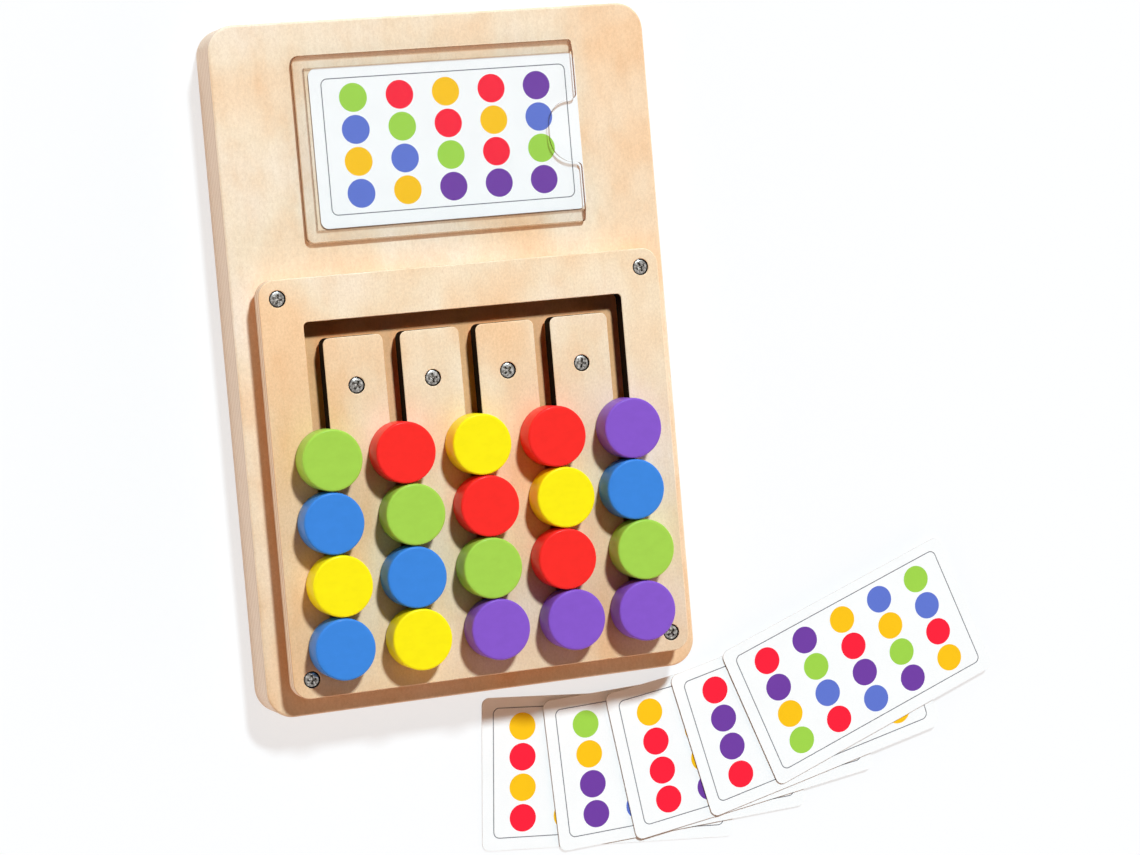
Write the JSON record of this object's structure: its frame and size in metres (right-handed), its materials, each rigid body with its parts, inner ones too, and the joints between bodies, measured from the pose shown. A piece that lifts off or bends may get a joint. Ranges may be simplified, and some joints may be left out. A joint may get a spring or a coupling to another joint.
{
  "type": "sliding colour matching puzzle",
  "caption": "Wooden board with painted round knobs held captive in a comb of slots, a clear holder for a pattern card, and loose pattern cards beside it.",
  "frame": {"origin": "centre of the base board's back face", "axes": "+Z out of the face that carries the knobs, +Y along the slots towards the card holder, +X to the right across the slots"},
  "size_m": [0.3586, 0.3857, 0.0486],
  "materials": {
    "board_wood": "pale birch with a thin satin lacquer",
    "panel_wood": "pale birch with a thin satin lacquer",
    "layer_wood": "bare sanded plywood",
    "turned_wood": "bare turned wood",
    "screw_steel": "plated steel",
    "clear_plastic": "clear and polished",
    "printed_card": "white coated card with printed dots",
    "paint_green": "satin paint on wood",
    "paint_blue": "satin paint on wood",
    "paint_yellow": "satin paint on wood",
    "paint_red": "satin paint on wood",
    "paint_purple": "satin paint on wood"
  },
  "bodies": {
    "board": {"base_board": "board_wood", "floor_sheet": "layer_wood", "spacer_layer": "layer_wood", "comb_panel": "panel_wood", "holder_rim": "clear_plastic", "holder_cover": "clear_plastic", "corner_screw_bottom_left": "screw_steel", "corner_screw_bottom_right": "screw_steel", "corner_screw_top_left": "screw_steel", "corner_screw_top_right": "screw_steel", "finger_screw_1": "screw_steel", "finger_screw_2": "screw_steel", "finger_screw_3": "screw_steel", "finger_screw_4": "screw_steel"},
    "pattern_card": {"pattern_card": "printed_card"},
    "loose_card_1": {"loose_card_1": "printed_card"},
    "loose_card_2": {"loose_card_2": "printed_card"},
    "loose_card_3": {"loose_card_3": "printed_card"},
    "loose_card_4": {"loose_card_4": "printed_card"},
    "loose_card_5": {"loose_card_5": "printed_card"},
    "knob_a1": {"knob_a1_cap": "paint_green", "knob_a1_foot": "turned_wood"},
    "knob_a2": {"knob_a2_cap": "paint_blue", "knob_a2_foot": "turned_wood"},
    "knob_a3": {"knob_a3_cap": "paint_yellow", "knob_a3_foot": "turned_wood"},
    "knob_a4": {"knob_a4_cap": "paint_blue", "knob_a4_foot": "turned_wood"},
    "knob_b1": {"knob_b1_cap": "paint_red", "knob_b1_foot": "turned_wood"},
    "knob_b2": {"knob_b2_cap": "paint_green", "knob_b2_foot": "turned_wood"},
    "knob_b3": {"knob_b3_cap": "paint_blue", "knob_b3_foot": "turned_wood"},
    "knob_b4": {"knob_b4_cap": "paint_yellow", "knob_b4_foot": "turned_wood"},
    "knob_c1": {"knob_c1_cap": "paint_yellow", "knob_c1_foot": "turned_wood"},
    "knob_c2": {"knob_c2_cap": "paint_red", "knob_c2_foot": "turned_wood"},
    "knob_c3": {"knob_c3_cap": "paint_green", "knob_c3_foot": "turned_wood"},
    "knob_c4": {"knob_c4_cap": "paint_purple", "knob_c4_foot": "turned_wood"},
    "knob_d1": {"knob_d1_cap": "paint_red", "knob_d1_foot": "turned_wood"},
    "knob_d2": {"knob_d2_cap": "paint_yellow", "knob_d2_foot": "turned_wood"},
    "knob_d3": {"knob_d3_cap": "paint_red", "knob_d3_foot": "turned_wood"},
    "knob_d4": {"knob_d4_cap": "paint_purple", "knob_d4_foot": "turned_wood"},
    "knob_e1": {"knob_e1_cap": "paint_purple", "knob_e1_foot": "turned_wood"},
    "knob_e2": {"knob_e2_cap": "paint_blue", "knob_e2_foot": "turned_wood"},
    "knob_e3": {"knob_e3_cap": "paint_green", "knob_e3_foot": "turned_wood"},
    "knob_e4": {"knob_e4_cap": "paint_purple", "knob_e4_foot": "turned_wood"}
  },
  "joints": [
    {"name": "pattern_card_slide", "type": "slide", "parent": "board", "child": "pattern_card", "axis": [1, 0, 0], "range_m": [0, 0.12]},
    {"name": "loose_card_1_slide", "type": "slide", "parent": "board", "child": "loose_card_1", "axis": [0, -1, 0], "range_m": [0, 0.04]},
    {"name": "loose_card_2_slide", "type": "slide", "parent": "board", "child": "loose_card_2", "axis": [0, -1, 0], "range_m": [0, 0.04]},
    {"name": "loose_card_3_slide", "type": "slide", "parent": "board", "child": "loose_card_3", "axis": [0, -1, 0], "range_m": [0, 0.04]},
    {"name": "loose_card_4_slide", "type": "slide", "parent": "board", "child": "loose_card_4", "axis": [0, -1, 0], "range_m": [0, 0.04]},
    {"name": "loose_card_5_slide", "type": "slide", "parent": "board", "child": "loose_card_5", "axis": [0, -1, 0], "range_m": [0, 0.04]},
    {"name": "knob_a4_slide", "type": "slide", "parent": "board", "child": "knob_a4", "axis": [0, 1, 0], "range_m": [0, 0.01425]},
    {"name": "knob_a3_slide", "type": "slide", "parent": "knob_a4", "child": "knob_a3", "axis": [0, 1, 0], "range_m": [0, 0.01425]},
    {"name": "knob_a2_slide", "type": "slide", "parent": "knob_a3", "child": "knob_a2", "axis": [0, 1, 0], "range_m": [0, 0.01425]},
    {"name": "knob_a1_slide", "type": "slide", "parent": "knob_a2", "child": "knob_a1", "axis": [0, 1, 0], "range_m": [0, 0.01425]},
    {"name": "knob_b4_slide", "type": "slide", "parent": "board", "child": "knob_b4", "axis": [0, 1, 0], "range_m": [0, 0.01425]},
    {"name": "knob_b3_slide", "type": "slide", "parent": "knob_b4", "child": "knob_b3", "axis": [0, 1, 0], "range_m": [0, 0.01425]},
    {"name": "knob_b2_slide", "type": "slide", "parent": "knob_b3", "child": "knob_b2", "axis": [0, 1, 0], "range_m": [0, 0.01425]},
    {"name": "knob_b1_slide", "type": "slide", "parent": "knob_b2", "child": "knob_b1", "axis": [0, 1, 0], "range_m": [0, 0.01425]},
    {"name": "knob_c4_slide", "type": "slide", "parent": "board", "child": "knob_c4", "axis": [0, 1, 0], "range_m": [0, 0.01425]},
    {"name": "knob_c3_slide", "type": "slide", "parent": "knob_c4", "child": "knob_c3", "axis": [0, 1, 0], "range_m": [0, 0.01425]},
    {"name": "knob_c2_slide", "type": "slide", "parent": "knob_c3", "child": "knob_c2", "axis": [0, 1, 0], "range_m": [0, 0.01425]},
    {"name": "knob_c1_slide", "type": "slide", "parent": "knob_c2", "child": "knob_c1", "axis": [0, 1, 0], "range_m": [0, 0.01425]},
    {"name": "knob_d4_slide", "type": "slide", "parent": "board", "child": "knob_d4", "axis": [0, 1, 0], "range_m": [0, 0.01425]},
    {"name": "knob_d3_slide", "type": "slide", "parent": "knob_d4", "child": "knob_d3", "axis": [0, 1, 0], "range_m": [0, 0.01425]},
    {"name": "knob_d2_slide", "type": "slide", "parent": "knob_d3", "child": "knob_d2", "axis": [0, 1, 0], "range_m": [0, 0.01425]},
    {"name": "knob_d1_slide", "type": "slide", "parent": "knob_d2", "child": "knob_d1", "axis": [0, 1, 0], "range_m": [0, 0.01425]},
    {"name": "knob_e4_slide", "type": "slide", "parent": "board", "child": "knob_e4", "axis": [0, 1, 0], "range_m": [0, 0.01425]},
    {"name": "knob_e3_slide", "type": "slide", "parent": "knob_e4", "child": "knob_e3", "axis": [0, 1, 0], "range_m": [0, 0.01425]},
    {"name": "knob_e2_slide", "type": "slide", "parent": "knob_e3", "child": "knob_e2", "axis": [0, 1, 0], "range_m": [0, 0.01425]},
    {"name": "knob_e1_slide", "type": "slide", "parent": "knob_e2", "child": "knob_e1", "axis": [0, 1, 0], "range_m": [0, 0.01425]}
  ]
}
